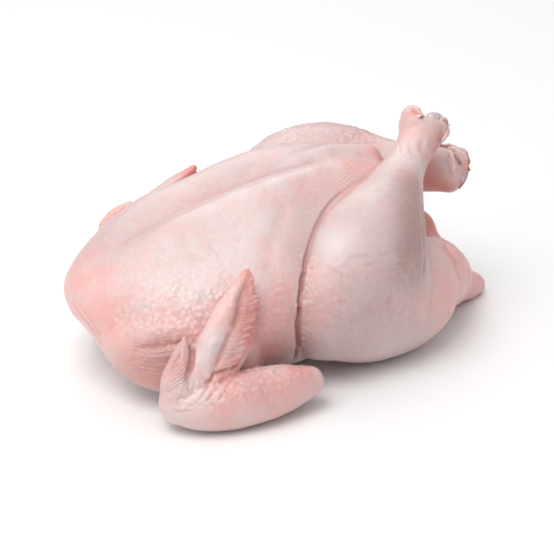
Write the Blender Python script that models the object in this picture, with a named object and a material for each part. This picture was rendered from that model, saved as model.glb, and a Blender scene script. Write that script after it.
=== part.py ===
"""A whole raw chicken, plucked and drawn, lying on its back with its shanks crossed.

The bird is one solid: carcass, shoulders, legs, wings and tail are lofted as separate forms
and fused, a few at a time, into one closed skin. X runs from the neck end to the tail, Y from
the bird's right side to its left, and Z up from the surface that it lies on.
"""

import math

import bmesh
import bpy
import numpy as np
from mathutils import Vector

MM = 0.001
VOXEL = 2.0 * MM  # how finely the flesh of one part of the bird is fused
FINE_VOXEL = 1.5 * MM  # how finely the skin over all the parts is
MOST_TRIANGLES = 9000  # what the finished solid keeps


# ------------------------------------------------------------------ lofting


def smooth_rows(rows, count):
    """Catmull-Rom through rows of numbers: count rows, evenly spread over the spans."""
    rows = np.array(rows, float)
    rows = np.vstack([2 * rows[0] - rows[1], rows, 2 * rows[-1] - rows[-2]])
    spans = len(rows) - 3
    made = []
    for place in np.linspace(0, spans, count):
        span = min(int(place), spans - 1)
        t = place - span
        a, b, c, d = rows[span : span + 4]
        bend = (2 * a - 5 * b + 4 * c - d) * t**2 + (3 * b - a - 3 * c + d) * t**3
        made.append(0.5 * (2 * b + (c - a) * t + bend))
    return np.array(made)


def shape_object(name, mesh):
    made = bpy.data.objects.new(name, mesh)
    bpy.context.scene.collection.objects.link(made)
    return made


def loft(name, rings):
    """One closed mesh object over rings of points, in millimetres, capped at both ends."""
    shape = bmesh.new()
    loops = [[shape.verts.new(Vector(point) * MM) for point in ring] for ring in rings]
    for one, next_one in zip(loops, loops[1:]):
        for i in range(len(one)):
            j = (i + 1) % len(one)
            shape.faces.new((one[i], one[j], next_one[j], next_one[i]))
    shape.faces.new(loops[0])
    shape.faces.new(loops[-1])
    bmesh.ops.recalc_face_normals(shape, faces=shape.faces)
    mesh = bpy.data.meshes.new(name)
    shape.to_mesh(mesh)
    shape.free()
    return shape_object(name, mesh)


def limb(name, stations, wide, blunt=1.0, sides=24, rings=28, cap_rings=4):
    """A round-ended limb. A station is x, y, z, half width, half depth; wide is the way that
    the width points; blunt shortens the last end's cap."""
    rows = smooth_rows(stations, rings)
    centres = rows[:, :3]
    radii = rows[:, 3:]
    along = np.gradient(centres, axis=0)
    along /= np.linalg.norm(along, axis=1)[:, None]

    def ring(centre, forward, half_width, half_depth):
        side = np.array(wide, float) - np.dot(wide, forward) * forward
        side /= np.linalg.norm(side)
        depth = np.cross(forward, side)
        turns = np.linspace(0, 2 * math.pi, sides, endpoint=False)
        return [centre + side * half_width * math.cos(a) + depth * half_depth * math.sin(a) for a in turns]

    made = []
    cap_turns = [math.radians(85 * step / cap_rings) for step in range(1, cap_rings + 1)]
    for a in reversed(cap_turns):
        reach = min(radii[0]) * math.sin(a)
        made.append(ring(centres[0] - along[0] * reach, along[0], *(radii[0] * math.cos(a))))
    for centre, forward, radius in zip(centres, along, radii):
        made.append(ring(centre, forward, *radius))
    for a in cap_turns:
        reach = min(radii[-1]) * math.sin(a) * blunt
        made.append(ring(centres[-1] + along[-1] * reach, along[-1], *(radii[-1] * math.cos(a))))
    return loft(name, made)


def settle(thing):
    """Puts what the modifiers make in place of the mesh."""
    graph = bpy.context.evaluated_depsgraph_get()
    thing.data = bpy.data.meshes.new_from_object(thing.evaluated_get(graph))
    thing.modifiers.clear()


def fused(name, parts, voxel, rounds):
    """One skin round all the parts: their voxel remesh, smoothed by some rounds."""
    joined = bmesh.new()
    for part in parts:
        joined.from_mesh(part.data)
        bpy.data.objects.remove(part)
    mesh = bpy.data.meshes.new(name)
    joined.to_mesh(mesh)
    joined.free()
    made = shape_object(name, mesh)
    remesh = made.modifiers.new("one skin", "REMESH")
    remesh.mode = "VOXEL"
    remesh.voxel_size = voxel
    smooth = made.modifiers.new("soft flesh", "SMOOTH")
    smooth.factor = 0.5
    smooth.iterations = rounds
    settle(made)
    return made


# ------------------------------------------------------------------ carcass

# x, half width, height of the widest point, top at the middle, underside, rise of each breast
# lobe, rise of the keel. The keel ends at x = 62, and the abdomen slopes from it to the tail.
CARCASS = [
    (-122, 9, 51.5, 57.5, 46, 0, 0),
    (-119, 17, 49, 62, 38.5, 0, 0),
    (-112, 28, 44, 67.5, 30, 1, 0),
    (-101, 42, 39, 72.5, 14, 2, 0),
    (-86, 57, 37.5, 77.5, 3, 5, 0),
    (-66, 69, 40, 83, 0, 7, 0),
    (-45, 72, 42, 88, 0, 7, 0),
    (-20, 71, 43, 96, 0, 7, 0),
    (5, 64, 44, 102, 0, 6, 1),
    (30, 57, 44, 104, 0, 3, 4),
    (50, 52, 42, 101, 1, 1, 5),
    (62, 49, 40, 96, 1, 0, 6),
    (68, 47, 38, 84, 2, 0, 2),
    (76, 45, 36, 67, 2, 0, 0),
    (88, 42, 32, 57, 3, 0, 0),
    (98, 37, 28, 49, 4, 0, 0),
    (108, 26, 20, 36, 4, 0, 0),
    (116, 16, 15, 24, 5, 0, 0),
]
LOBE_AT = 22  # how far each breast lobe's crest lies from the keel
LOBE_SPREAD = 13
KEEL_SPREAD = 5
NECK_LEAN = 8  # how far the neck end lies towards the bird's right side
LEAN_FROM = -66
LEAN_OVER = 50
VENT_AT, VENT_LONG, VENT_WIDE, VENT_DEEP = 85, 12, 17, 22  # the dent that the cut vent leaves
VENT_SIDE = -8  # how far the dent lies from the middle
BREAST_POWER = 2.0  # below 2 the section is more pointed, above 2 more square
BACK_POWER = 2.6


def carcass():
    rings = []
    turns = np.linspace(0, 2 * math.pi, 96, endpoint=False)
    for x, half, middle, top, base, lobe, keel in smooth_rows(CARCASS, 90):
        lean = -NECK_LEAN * max(0.0, LEAN_FROM - x) / LEAN_OVER
        ring = []
        for a in turns:
            up, out = math.cos(a), math.sin(a)
            power = BREAST_POWER if up > 0 else BACK_POWER
            reach = top - middle if up > 0 else middle - base
            y = half * math.copysign(abs(out) ** (2 / power), out)
            z = middle + reach * math.copysign(abs(up) ** (2 / power), up)
            if up > 0:
                z += lobe * up * math.exp(-(((abs(y) - LOBE_AT) / LOBE_SPREAD) ** 2))
                z += keel * math.exp(-((y / KEEL_SPREAD) ** 2))
                z -= VENT_DEEP * math.exp(-(((x - VENT_AT) / VENT_LONG) ** 2) - ((y - VENT_SIDE) / VENT_WIDE) ** 2)
            ring.append((x, y + lean, z))
        rings.append(ring)
    return loft("carcass", rings)


# For the rest, a row is x, y, z, half width, half depth, from the body outwards.

TAIL = [(98, 0, 17, 26, 14), (110, 0, 12.5, 21, 13), (119.5, 0, 8.5, 15.5, 9.5), (127, 0, 6.5, 9.5, 6.5)]
RIGHT_SHOULDER = [(-100, -23, 40, 19, 16), (-91, -38, 33, 23.5, 20.5), (-77, -50.5, 31, 25, 21), (-55, -61, 29, 22, 17)]
LEFT_SHOULDER = [(-78, 44, 28, 19, 17), (-64, 54, 28, 20, 18), (-50, 64, 28, 18, 16)]
RIGHT_RUMP = [(64, -39, 35, 23, 20), (80, -33, 34.5, 21.5, 20), (88, -29, 31, 18, 17.5)]
LEFT_RUMP = [(64, 36, 36, 22, 20), (80, 26, 38, 20, 19), (92.5, 16, 36, 18, 16)]


def body():
    parts = [
        carcass(),
        limb("tail", TAIL, (0, 1, 0)),
        limb("right shoulder", RIGHT_SHOULDER, (0, 0, 1)),
        limb("left shoulder", LEFT_SHOULDER, (0, 0, 1)),
        limb("right rump", RIGHT_RUMP, (0, 0, 1)),
        limb("left rump", LEFT_RUMP, (0, 0, 1)),
    ]
    return fused("body", parts, VOXEL, 12)


# ------------------------------------------------------------------ legs
# The calf fills the hollow of the knee. The right ankle crosses above the left one.

RIGHT_THIGH = [
    (74, -31, 25, 23, 21),
    (62, -40, 32, 32, 27),
    (36, -48, 36, 35, 29),
    (12, -54, 40.5, 32, 27),
    (1, -55, 41, 29, 26),
]
RIGHT_CALF = [
    (40, -49, 34, 28, 29),
    (38, -50, 50, 28, 29.5),
    (41, -48, 62, 24, 28),
    (48, -43, 76, 17.5, 23.5),
    (56, -34, 89, 11.5, 16),
]
RIGHT_SHANK = [
    (7, -57, 51, 26.5, 25),
    (18, -54, 60, 28.5, 27),
    (29, -50, 69, 28, 27),
    (40, -44, 77.5, 23.7, 25),
    (49.5, -38, 85.5, 18.7, 20.5),
    (58, -31, 93.5, 14, 15),
    (67.5, -24, 100, 11, 11),
    (75.5, -17.5, 105.5, 11, 10.5),
    (81, -13, 110.5, 13, 11.5),
    (84, -10, 115, 14.3, 12.5),
]
LEFT_THIGH = [
    (81, 29, 25, 24, 22),
    (62, 40, 32, 32, 27),
    (38, 48, 36, 34, 29),
    (19, 54, 42, 31, 27),
    (14, 55, 46, 27, 25),
]
LEFT_CALF = [(48, 45, 34, 28, 26), (51, 44, 48, 28, 26), (57, 40, 60, 24, 23), (65, 34, 70, 17, 17)]
LEFT_SHANK = [
    (20, 58, 52.5, 25, 25),
    (29, 58, 60.5, 27.5, 27),
    (38, 56, 67.5, 27.5, 28),
    (47, 51, 72.5, 26.5, 27),
    (56, 43, 76.3, 25, 24.5),
    (67, 33, 79.3, 20.3, 20),
    (77, 22, 81, 15.3, 15),
    (87, 13, 81, 13.5, 13),
    (97, 6, 81, 13.5, 13),
    (106, 0.5, 82, 13.8, 14),
    (111.5, -3, 80.2, 13.5, 14.2),
]
# The two rollers that the right ankle's joint ends in.
RIGHT_ROLLERS = [
    [(77, -13, 118.5, 6, 6), (78.5, -7, 119.5, 6, 6)],
    [(90.5, -15, 114, 5.6, 5.6), (91.5, -10, 115, 5.6, 5.6)],
]


def leg(side, thigh, calf, shank, shank_wide, blunt):
    parts = [
        limb(side + " thigh", thigh, (0, 0, 1)),
        limb(side + " calf", calf, (1, 0, 0)),
        limb(side + " shank", shank, shank_wide, blunt),
    ]
    return fused(side + " leg", parts, VOXEL, 12)


# ------------------------------------------------------------------ wings
# Each wing is folded in a Z: upper arm back, flat forward, and tip back again. Each form has
# its rows, and the way that its width points.

RIGHT_WING = {
    "upper": ([(-68, -62, 20, 13, 12), (-48, -75, 15, 11, 10), (-26, -82, 14, 9, 9)], (0, 0, 1)),
    "flat": (
        [
            (-21, -86, 16.6, 8.3, 8),
            (-27, -86.5, 16.6, 10.3, 9.6),
            (-37, -87.5, 16.5, 13, 11.5),
            (-50, -88.5, 16.5, 14.5, 12.5),
            (-66, -88, 16.5, 15, 13.5),
            (-80, -84, 17, 14.5, 13.5),
            (-88, -79, 17, 12.5, 12.5),
        ],
        (0, 0, 1),
    ),
    "tip": (
        [
            (-82, -83, 27, 10, 8),
            (-77.5, -82, 37, 9, 7.5),
            (-70.5, -79, 48, 7.7, 6.8),
            (-63, -76, 59, 6.3, 5.8),
            (-55.5, -72, 66.5, 4.8, 4.5),
            (-49.5, -68, 72.5, 3, 3),
            (-46.5, -66, 76, 1.5, 1.5),
        ],
        (1, 0, 0),
    ),
    "web": (
        [
            (-76, -88, 32, 9, 3.5),
            (-66.5, -85, 42, 11.7, 3),
            (-57.5, -80, 53, 11, 2.8),
            (-50.5, -75, 62, 7, 2.4),
            (-47.5, -70, 69.5, 3.2, 2),
            (-46, -67, 75, 1.3, 1.3),
        ],
        (0.8, 0, -0.6),
    ),
    "thumb": (
        [
            (-91, -80, 22, 9, 9),
            (-91.5, -80.5, 30, 8.5, 8),
            (-89, -80, 38, 7, 5.8),
            (-87, -78, 44, 5, 4.2),
            (-84.4, -76.5, 46.6, 3.6, 3.2),
        ],
        (1, 0, 0),
    ),
    "thumb claw": ([(-85.8, -76.8, 48.5, 1.7, 1.6), (-85.6, -76.3, 51.2, 1.0, 0.9)], (1, 0, 0)),
}
LEFT_WING = {
    "upper": ([(-70, 60, 28, 16, 14), (-44, 74, 25, 17, 15), (-12, 86, 20, 15, 14)], (0, 0, 1)),
    "flat": (
        [(-8, 88, 18, 13, 13), (-32, 88, 26, 17, 14), (-54, 80, 39, 15, 13), (-67, 65, 48.3, 9.5, 9)],
        (0, 0, 1),
    ),
    "tip": (
        [(-68, 65, 49, 8.5, 8.5), (-53, 72, 52, 7, 6.5), (-34, 73, 65.5, 4.5, 4.5), (-18, 71, 77, 2.1, 2.1)],
        (0, 0, 1),
    ),
    "web": (
        [(-64, 76, 42, 11, 3), (-48, 78, 47, 12, 3), (-30, 76, 62, 9, 2.6), (-18, 72, 74, 4.5, 2)],
        (0.4, 0, -0.9),
    ),
    "thumb": ([(-70, 66, 51.3, 8.5, 6.5), (-67, 65.5, 57, 6.3, 4.6), (-58, 66.8, 62, 3.6, 2.8)], (1, 0, 0)),
}


def wing(side, forms):
    return [limb(side + " " + name, stations, wide) for name, (stations, wide) in forms.items()]


# ------------------------------------------------------------------ the whole bird


def skin_material():
    skin = bpy.data.materials.new("raw chicken skin")
    skin.use_nodes = True
    shader = skin.node_tree.nodes["Principled BSDF"]
    shader.inputs["Base Color"].default_value = (0.84, 0.62, 0.57, 1)
    shader.inputs["Roughness"].default_value = 0.45
    shader.inputs["Metallic"].default_value = 0
    return skin


def rest_flat(thing, sink):
    """Sinks the bird a little into the surface and cuts it off flat there, as its weight does."""
    shape = bmesh.new()
    shape.from_mesh(thing.data)
    bmesh.ops.translate(shape, verts=shape.verts, vec=(0, 0, -sink))
    everything = shape.verts[:] + shape.edges[:] + shape.faces[:]
    bmesh.ops.bisect_plane(shape, geom=everything, plane_co=(0, 0, 0), plane_no=(0, 0, -1), clear_outer=True)
    bmesh.ops.holes_fill(shape, edges=[edge for edge in shape.edges if edge.is_boundary])
    bmesh.ops.recalc_face_normals(shape, faces=shape.faces)
    shape.to_mesh(thing.data)
    shape.free()


def chicken():
    parts = [
        body(),
        leg("right", RIGHT_THIGH, RIGHT_CALF, RIGHT_SHANK, (0.7, -0.2, -0.7), 0.3),
        leg("left", LEFT_THIGH, LEFT_CALF, LEFT_SHANK, (0, 0, 1), 0.35),
    ]
    parts += [limb("ankle roller", roller, (1, 0, 0)) for roller in RIGHT_ROLLERS]
    parts += wing("right", RIGHT_WING) + wing("left", LEFT_WING)
    whole = fused("chicken", parts, FINE_VOXEL, 3)
    fewer = whole.modifiers.new("fewer faces", "DECIMATE")
    fewer.ratio = MOST_TRIANGLES / (2 * len(whole.data.polygons))
    settle(whole)
    rest_flat(whole, 1.5 * MM)
    whole.data.materials.append(skin_material())


for thing in list(bpy.data.objects):
    bpy.data.objects.remove(thing)
chicken()
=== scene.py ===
"""A whole raw chicken, plucked and drawn, lying on its back with its shanks crossed.

X runs from the neck end to the tail, Y from the bird's right side to its left, and Z up from
the surface that it lies on. Tables are in millimetres, and meshes in metres.
"""

import math

import bmesh
import bpy
import numpy as np
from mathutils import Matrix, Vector
from mathutils.bvhtree import BVHTree


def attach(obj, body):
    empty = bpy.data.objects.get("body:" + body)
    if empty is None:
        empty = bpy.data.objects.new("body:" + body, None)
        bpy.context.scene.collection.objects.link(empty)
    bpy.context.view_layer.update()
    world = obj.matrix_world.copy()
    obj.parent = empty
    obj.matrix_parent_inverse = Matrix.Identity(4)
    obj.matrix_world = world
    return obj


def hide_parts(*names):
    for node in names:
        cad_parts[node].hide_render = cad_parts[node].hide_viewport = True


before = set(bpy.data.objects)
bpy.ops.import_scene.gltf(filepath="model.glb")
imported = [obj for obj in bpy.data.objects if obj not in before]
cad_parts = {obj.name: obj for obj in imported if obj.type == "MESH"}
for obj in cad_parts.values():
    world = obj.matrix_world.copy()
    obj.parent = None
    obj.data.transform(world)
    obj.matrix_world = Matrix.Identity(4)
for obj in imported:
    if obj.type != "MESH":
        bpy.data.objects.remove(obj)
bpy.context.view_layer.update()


# ---------------------------------------------------------------- the studio
# A plain pale table under a white sky of soft boxes. The camera stands before the bird's right
# side, turned towards its neck and looking down on it.

CAMERA_TURN = math.radians(-25)
CAMERA_RISE = math.radians(25)
CAMERA_AWAY = 1.1
CAMERA_AIM = Vector((0.001, 0.0, 0.0337))
FLOOR_SIDE = 6.0
FLOOR_DROP = 0.0003  # keeps the table clear of the flat spot under the back
LIT_MIDDLE = Vector((0, 0, 0.05))
SKY_LOW, SKY_HIGH = 0.2, 0.9  # how bright the sky is at the horizon and overhead
SKY_TOP = 0.9  # the rise at which it is brightest

camera_data = bpy.data.cameras.new("studio_camera")
camera_data.lens = 130
camera_data.sensor_width = 36
camera = bpy.data.objects.new("studio_camera", camera_data)
bpy.context.scene.collection.objects.link(camera)
towards_camera = Vector(
    (
        math.sin(CAMERA_TURN) * math.cos(CAMERA_RISE),
        -math.cos(CAMERA_TURN) * math.cos(CAMERA_RISE),
        math.sin(CAMERA_RISE),
    )
)
camera.location = CAMERA_AIM + towards_camera * CAMERA_AWAY
camera.rotation_mode = "QUATERNION"
camera.rotation_quaternion = (-towards_camera).to_track_quat("-Z", "Y")
bpy.context.scene.camera = camera
bpy.context.scene.view_settings.view_transform = "Standard"


def soft_box(name, place, side, watts, tint):
    """A square studio light that faces the bird."""
    data = bpy.data.lights.new(name, "AREA")
    data.size = side
    data.energy = watts
    data.color = tint
    light = bpy.data.objects.new(name, data)
    bpy.context.scene.collection.objects.link(light)
    light.location = place
    light.rotation_mode = "QUATERNION"
    light.rotation_quaternion = (LIT_MIDDLE - Vector(place)).to_track_quat("-Z", "Y")


soft_box("key_box", (-0.6, -0.38, 1.4), 0.95, 11.8, (1, 0.99, 0.98))
soft_box("left_box", (-1.3, -0.1, 0.5), 0.8, 3.5, (1, 0.99, 0.98))
soft_box("back_box", (0.3, 1.0, 1.1), 0.8, 3, (0.97, 0.985, 1))


def add_node(tree, kind, inputs={}, **settings):
    """A new node. Inputs give each socket's value, or the socket that it is linked from."""
    node = tree.nodes.new(kind)
    for name, value in settings.items():
        setattr(node, name, value)
    for name, value in inputs.items():
        if isinstance(value, bpy.types.NodeSocket):
            tree.links.new(value, node.inputs[name])
        else:
            node.inputs[name].default_value = value
    return node


def ranged(tree, value, from_low, from_high, to_low, to_high, **settings):
    """The value carried over from one range to another, and held within it."""
    ends = {"From Min": from_low, "From Max": from_high, "To Min": to_low, "To Max": to_high}
    return add_node(tree, "ShaderNodeMapRange", {"Value": value, **ends}, **settings).outputs[0]


sky = bpy.data.worlds.new("white_studio")
sky.use_nodes = True
direction = add_node(sky.node_tree, "ShaderNodeTexCoord").outputs["Generated"]
upward = add_node(sky.node_tree, "ShaderNodeSeparateXYZ", {0: direction}).outputs["Z"]
brightness = ranged(sky.node_tree, upward, 0, SKY_TOP, SKY_LOW, SKY_HIGH)
sky_light = sky.node_tree.nodes["Background"]
sky.node_tree.links.new(brightness, sky_light.inputs["Strength"])
sky_light.inputs["Color"].default_value = (1, 1, 1, 1)
bpy.context.scene.world = sky

floor_mesh = bpy.data.meshes.new("table_top")
half_floor = FLOOR_SIDE / 2
floor_corners = ((-1, -1), (1, -1), (1, 1), (-1, 1))
floor_mesh.from_pydata(
    [(x * half_floor, y * half_floor, -FLOOR_DROP) for x, y in floor_corners], [], [(0, 1, 2, 3)]
)
floor = bpy.data.objects.new("table_top", floor_mesh)
bpy.context.scene.collection.objects.link(floor)
floor_finish = bpy.data.materials.new("matt_white_table")
floor_finish.use_nodes = True
floor_shader = floor_finish.node_tree.nodes["Principled BSDF"]
floor_shader.inputs["Base Color"].default_value = (0.88, 0.88, 0.88, 1)
floor_shader.inputs["Roughness"].default_value = 0.9
floor_shader.inputs["Specular IOR Level"].default_value = 0.1
floor_mesh.materials.append(floor_finish)


# ---------------------------------------------------------------- the trunk
# Breast, back, abdomen, tail and shoulders: flesh over the bird's bones. The breast is two
# lobes beside the keel, and the cut vent leaves a dent above the tail.

MM = 0.001

# x, half width, height of the widest point, top at the middle, underside, rise of each breast
# lobe, rise of the keel. The keel ends at x = 62, and the abdomen slopes from it to the tail.
CARCASS = [
    (-122, 9, 51.5, 57.5, 46, 0, 0),
    (-119, 17, 49, 62, 38.5, 0, 0),
    (-112, 28, 44, 67.5, 30, 1, 0),
    (-101, 42, 39, 72.5, 14, 2, 0),
    (-86, 57, 37.5, 77.5, 3, 5, 0),
    (-66, 69, 40, 83, 0, 7, 0),
    (-45, 72, 42, 88, 0, 7, 0),
    (-20, 71, 43, 96, 0, 7, 0),
    (5, 64, 44, 102, 0, 6, 1),
    (30, 57, 44, 104, 0, 3, 4),
    (50, 52, 42, 101, 1, 1, 5),
    (62, 49, 40, 96, 1, 0, 6),
    (68, 47, 38, 84, 2, 0, 2),
    (76, 45, 36, 67, 2, 0, 0),
    (88, 42, 32, 57, 3, 0, 0),
    (98, 37, 28, 49, 4, 0, 0),
    (108, 26, 20, 36, 4, 0, 0),
    (116, 16, 15, 24, 5, 0, 0),
]
LOBE_AT = 22  # how far each breast lobe's crest lies from the keel
LOBE_SPREAD = 13
KEEL_SPREAD = 5
NECK_LEAN = 8  # how far the neck end lies towards the bird's right side
LEAN_FROM = -66
LEAN_OVER = 50
VENT_AT, VENT_LONG, VENT_WIDE, VENT_DEEP = 85, 12, 17, 22
VENT_SIDE = -8  # how far the vent's hollow lies from the middle
BREAST_POWER = 2.0
BACK_POWER = 2.6

# For the rest, a row is x, y, z, half width, half depth, from the body outwards.
TAIL = [(98, 0, 17, 26, 14), (110, 0, 12.5, 21, 13), (119.5, 0, 8.5, 15.5, 9.5),
    (127, 0, 6.5, 9.5, 6.5)]
RIGHT_SHOULDER = [(-100, -23, 40, 19, 16), (-91, -38, 33, 23.5, 20.5), (-77, -50.5, 31, 25, 21),
    (-55, -61, 29, 22, 17)]
LEFT_SHOULDER = [(-78, 44, 28, 19, 17), (-64, 54, 28, 20, 18), (-50, 64, 28, 18, 16)]
RIGHT_RUMP = [(64, -39, 35, 23, 20), (80, -33, 34.5, 21.5, 20), (88, -29, 31, 18, 17.5)]
LEFT_RUMP = [(64, 36, 36, 22, 20), (80, 26, 38, 20, 19), (92.5, 16, 36, 18, 16)]


def smooth_rows(rows, count):
    """Catmull-Rom through rows of numbers: count rows, evenly spread over the spans."""
    rows = np.array(rows, float)
    rows = np.vstack([2 * rows[0] - rows[1], rows, 2 * rows[-1] - rows[-2]])
    spans = len(rows) - 3
    made = []
    for place in np.linspace(0, spans, count):
        span = min(int(place), spans - 1)
        t = place - span
        a, b, c, d = rows[span : span + 4]
        bend = (2 * a - 5 * b + 4 * c - d) * t**2 + (3 * b - a - 3 * c + d) * t**3
        made.append(0.5 * (2 * b + (c - a) * t + bend))
    return np.array(made)


def shape_object(name, mesh):
    made = bpy.data.objects.new(name, mesh)
    bpy.context.scene.collection.objects.link(made)
    return made


def loft(name, rings):
    """One closed mesh object over rings of points, in millimetres, capped at both ends."""
    shape = bmesh.new()
    loops = [[shape.verts.new(Vector(point) * MM) for point in ring] for ring in rings]
    for one, next_one in zip(loops, loops[1:]):
        for i in range(len(one)):
            j = (i + 1) % len(one)
            shape.faces.new((one[i], one[j], next_one[j], next_one[i]))
    shape.faces.new(loops[0])
    shape.faces.new(loops[-1])
    bmesh.ops.recalc_face_normals(shape, faces=shape.faces)
    mesh = bpy.data.meshes.new(name)
    shape.to_mesh(mesh)
    shape.free()
    return shape_object(name, mesh)


def limb(name, stations, wide, blunt=1.0, sides=40, rings=60, cap_rings=6):
    """A round-ended limb. A station is x, y, z, half width, half depth; wide is the way that
    the width points; blunt shortens the last end's cap."""
    rows = smooth_rows(stations, rings)
    centres = rows[:, :3]
    radii = rows[:, 3:]
    along = np.gradient(centres, axis=0)
    along /= np.linalg.norm(along, axis=1)[:, None]

    def ring(centre, forward, half_width, half_depth):
        side = np.array(wide, float) - np.dot(wide, forward) * forward
        side /= np.linalg.norm(side)
        depth = np.cross(forward, side)
        turns = np.linspace(0, 2 * math.pi, sides, endpoint=False)
        wide_way, deep_way = side * half_width, depth * half_depth
        return [centre + wide_way * math.cos(a) + deep_way * math.sin(a) for a in turns]

    made = []
    cap_turns = [math.radians(85 * step / cap_rings) for step in range(1, cap_rings + 1)]
    for a in reversed(cap_turns):
        reach = min(radii[0]) * math.sin(a)
        made.append(ring(centres[0] - along[0] * reach, along[0], *(radii[0] * math.cos(a))))
    for centre, forward, radius in zip(centres, along, radii):
        made.append(ring(centre, forward, *radius))
    for a in cap_turns:
        reach = min(radii[-1]) * math.sin(a) * blunt
        made.append(ring(centres[-1] + along[-1] * reach, along[-1], *(radii[-1] * math.cos(a))))
    return loft(name, made)


def settle(thing):
    """Puts what the modifiers make in place of the mesh."""
    graph = bpy.context.evaluated_depsgraph_get()
    thing.data = bpy.data.meshes.new_from_object(thing.evaluated_get(graph))
    thing.modifiers.clear()


def joined(name, parts):
    """One object of all the parts' meshes, in place of the parts."""
    whole = bmesh.new()
    for part in parts:
        whole.from_mesh(part.data)
        bpy.data.objects.remove(part)
    mesh = bpy.data.meshes.new(name)
    whole.to_mesh(mesh)
    whole.free()
    return shape_object(name, mesh)


def fused(name, parts, voxel, rounds):
    """One skin round all the parts: their voxel remesh, smoothed by some rounds."""
    made = joined(name, parts)
    remesh = made.modifiers.new("one skin", "REMESH")
    remesh.mode = "VOXEL"
    remesh.voxel_size = voxel * MM
    smooth = made.modifiers.new("soft flesh", "SMOOTH")
    smooth.factor = 0.5
    smooth.iterations = rounds
    settle(made)
    return made


def carcass():
    rings = []
    turns = np.linspace(0, 2 * math.pi, 144, endpoint=False)
    for x, half, middle, top, base, lobe, keel in smooth_rows(CARCASS, 150):
        lean = -NECK_LEAN * max(0.0, LEAN_FROM - x) / LEAN_OVER
        ring = []
        for a in turns:
            up, out = math.cos(a), math.sin(a)
            power = BREAST_POWER if up > 0 else BACK_POWER
            reach = top - middle if up > 0 else middle - base
            y = half * math.copysign(abs(out) ** (2 / power), out)
            z = middle + reach * math.copysign(abs(up) ** (2 / power), up)
            if up > 0:
                z += lobe * up * math.exp(-(((abs(y) - LOBE_AT) / LOBE_SPREAD) ** 2))
                z += keel * math.exp(-((y / KEEL_SPREAD) ** 2))
                behind, beside = (x - VENT_AT) / VENT_LONG, (y - VENT_SIDE) / VENT_WIDE
                z -= VENT_DEEP * math.exp(-(behind**2) - beside**2)
            ring.append((x, y + lean, z))
        rings.append(ring)
    return loft("carcass", rings)


GROUP_VOXEL = 1.2  # how finely the flesh of one part of the bird is fused
GROUP_ROUNDS = 34

trunk = fused(
    "trunk",
    [
        carcass(),
        limb("tail", TAIL, (0, 1, 0)),
        limb("right shoulder", RIGHT_SHOULDER, (0, 0, 1)),
        limb("left shoulder", LEFT_SHOULDER, (0, 0, 1)),
        limb("right rump", RIGHT_RUMP, (0, 0, 1)),
        limb("left rump", LEFT_RUMP, (0, 0, 1)),
    ],
    GROUP_VOXEL,
    GROUP_ROUNDS,
)


# ---------------------------------------------------------------- the legs
# Thigh, calf and shank of each leg, pushed forward with the shanks crossed above the vent, the
# right one over the left. Each was cut through at its ankle, which keeps the knob of the joint.

RIGHT_THIGH = [
    (74, -31, 25, 23, 21), (62, -40, 32, 32, 27), (36, -48, 36, 35, 29), (12, -54, 40.5, 32, 27),
    (1, -55, 41, 29, 26),
]
RIGHT_CALF = [
    (40, -49, 34, 28, 29), (38, -50, 50, 28, 29.5), (41, -48, 62, 24, 28),
    (48, -43, 76, 17.5, 23.5), (56, -34, 89, 11.5, 16),
]
RIGHT_SHANK = [
    (7, -57, 51, 26.5, 25), (18, -54, 60, 28.5, 27), (29, -50, 69, 28, 27),
    (40, -44, 77.5, 23.7, 25), (49.5, -38, 85.5, 18.7, 20.5), (58, -31, 93.5, 14, 15),
    (67.5, -24, 100, 11, 11), (75.5, -17.5, 105.5, 11, 10.5), (81, -13, 110.5, 13, 11.5),
    (84, -10, 115, 14.3, 12.5),
]
LEFT_THIGH = [
    (81, 29, 25, 24, 22), (62, 40, 32, 32, 27), (38, 48, 36, 34, 29), (19, 54, 42, 31, 27),
    (14, 55, 46, 27, 25),
]
LEFT_CALF = [(48, 45, 34, 28, 26), (51, 44, 48, 28, 26), (57, 40, 60, 24, 23), (65, 34, 70, 17, 17)]
LEFT_SHANK = [
    (20, 58, 52.5, 25, 25), (29, 58, 60.5, 27.5, 27), (38, 56, 67.5, 27.5, 28),
    (47, 51, 72.5, 26.5, 27), (56, 43, 76.3, 25, 24.5), (67, 33, 79.3, 20.3, 20),
    (77, 22, 81, 15.3, 15), (87, 13, 81, 13.5, 13), (97, 6, 81, 13.5, 13), (106, 0.5, 82, 13.8, 14),
    (111.5, -3, 80.2, 13.5, 14.2),
]


# The two rollers that the right ankle's joint ends in.
RIGHT_ROLLERS = [
    [(77, -13, 118.5, 6, 6), (78.5, -7, 119.5, 6, 6)],
    [(90.5, -15, 114, 5.6, 5.6), (91.5, -10, 115, 5.6, 5.6)],
]


def leg(side, thigh, calf, shank, shank_wide, blunt):
    parts = [
        limb(side + " thigh", thigh, (0, 0, 1)),
        limb(side + " calf", calf, (1, 0, 0)),
        limb(side + " shank", shank, shank_wide, blunt),
    ]
    return fused(side + " leg", parts, GROUP_VOXEL, GROUP_ROUNDS)


right_leg = leg("right", RIGHT_THIGH, RIGHT_CALF, RIGHT_SHANK, (0.7, -0.2, -0.7), 0.3)
left_leg = leg("left", LEFT_THIGH, LEFT_CALF, LEFT_SHANK, (0, 0, 1), 0.35)
rollers = [limb("ankle roller", roller, (1, 0, 0)) for roller in RIGHT_ROLLERS]


# ---------------------------------------------------------------- the wings
# Each wing is folded in a Z: upper arm back, flat forward, and tip back again, with a web of
# skin behind the tip's bones and the small thumb at the wrist.

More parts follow.
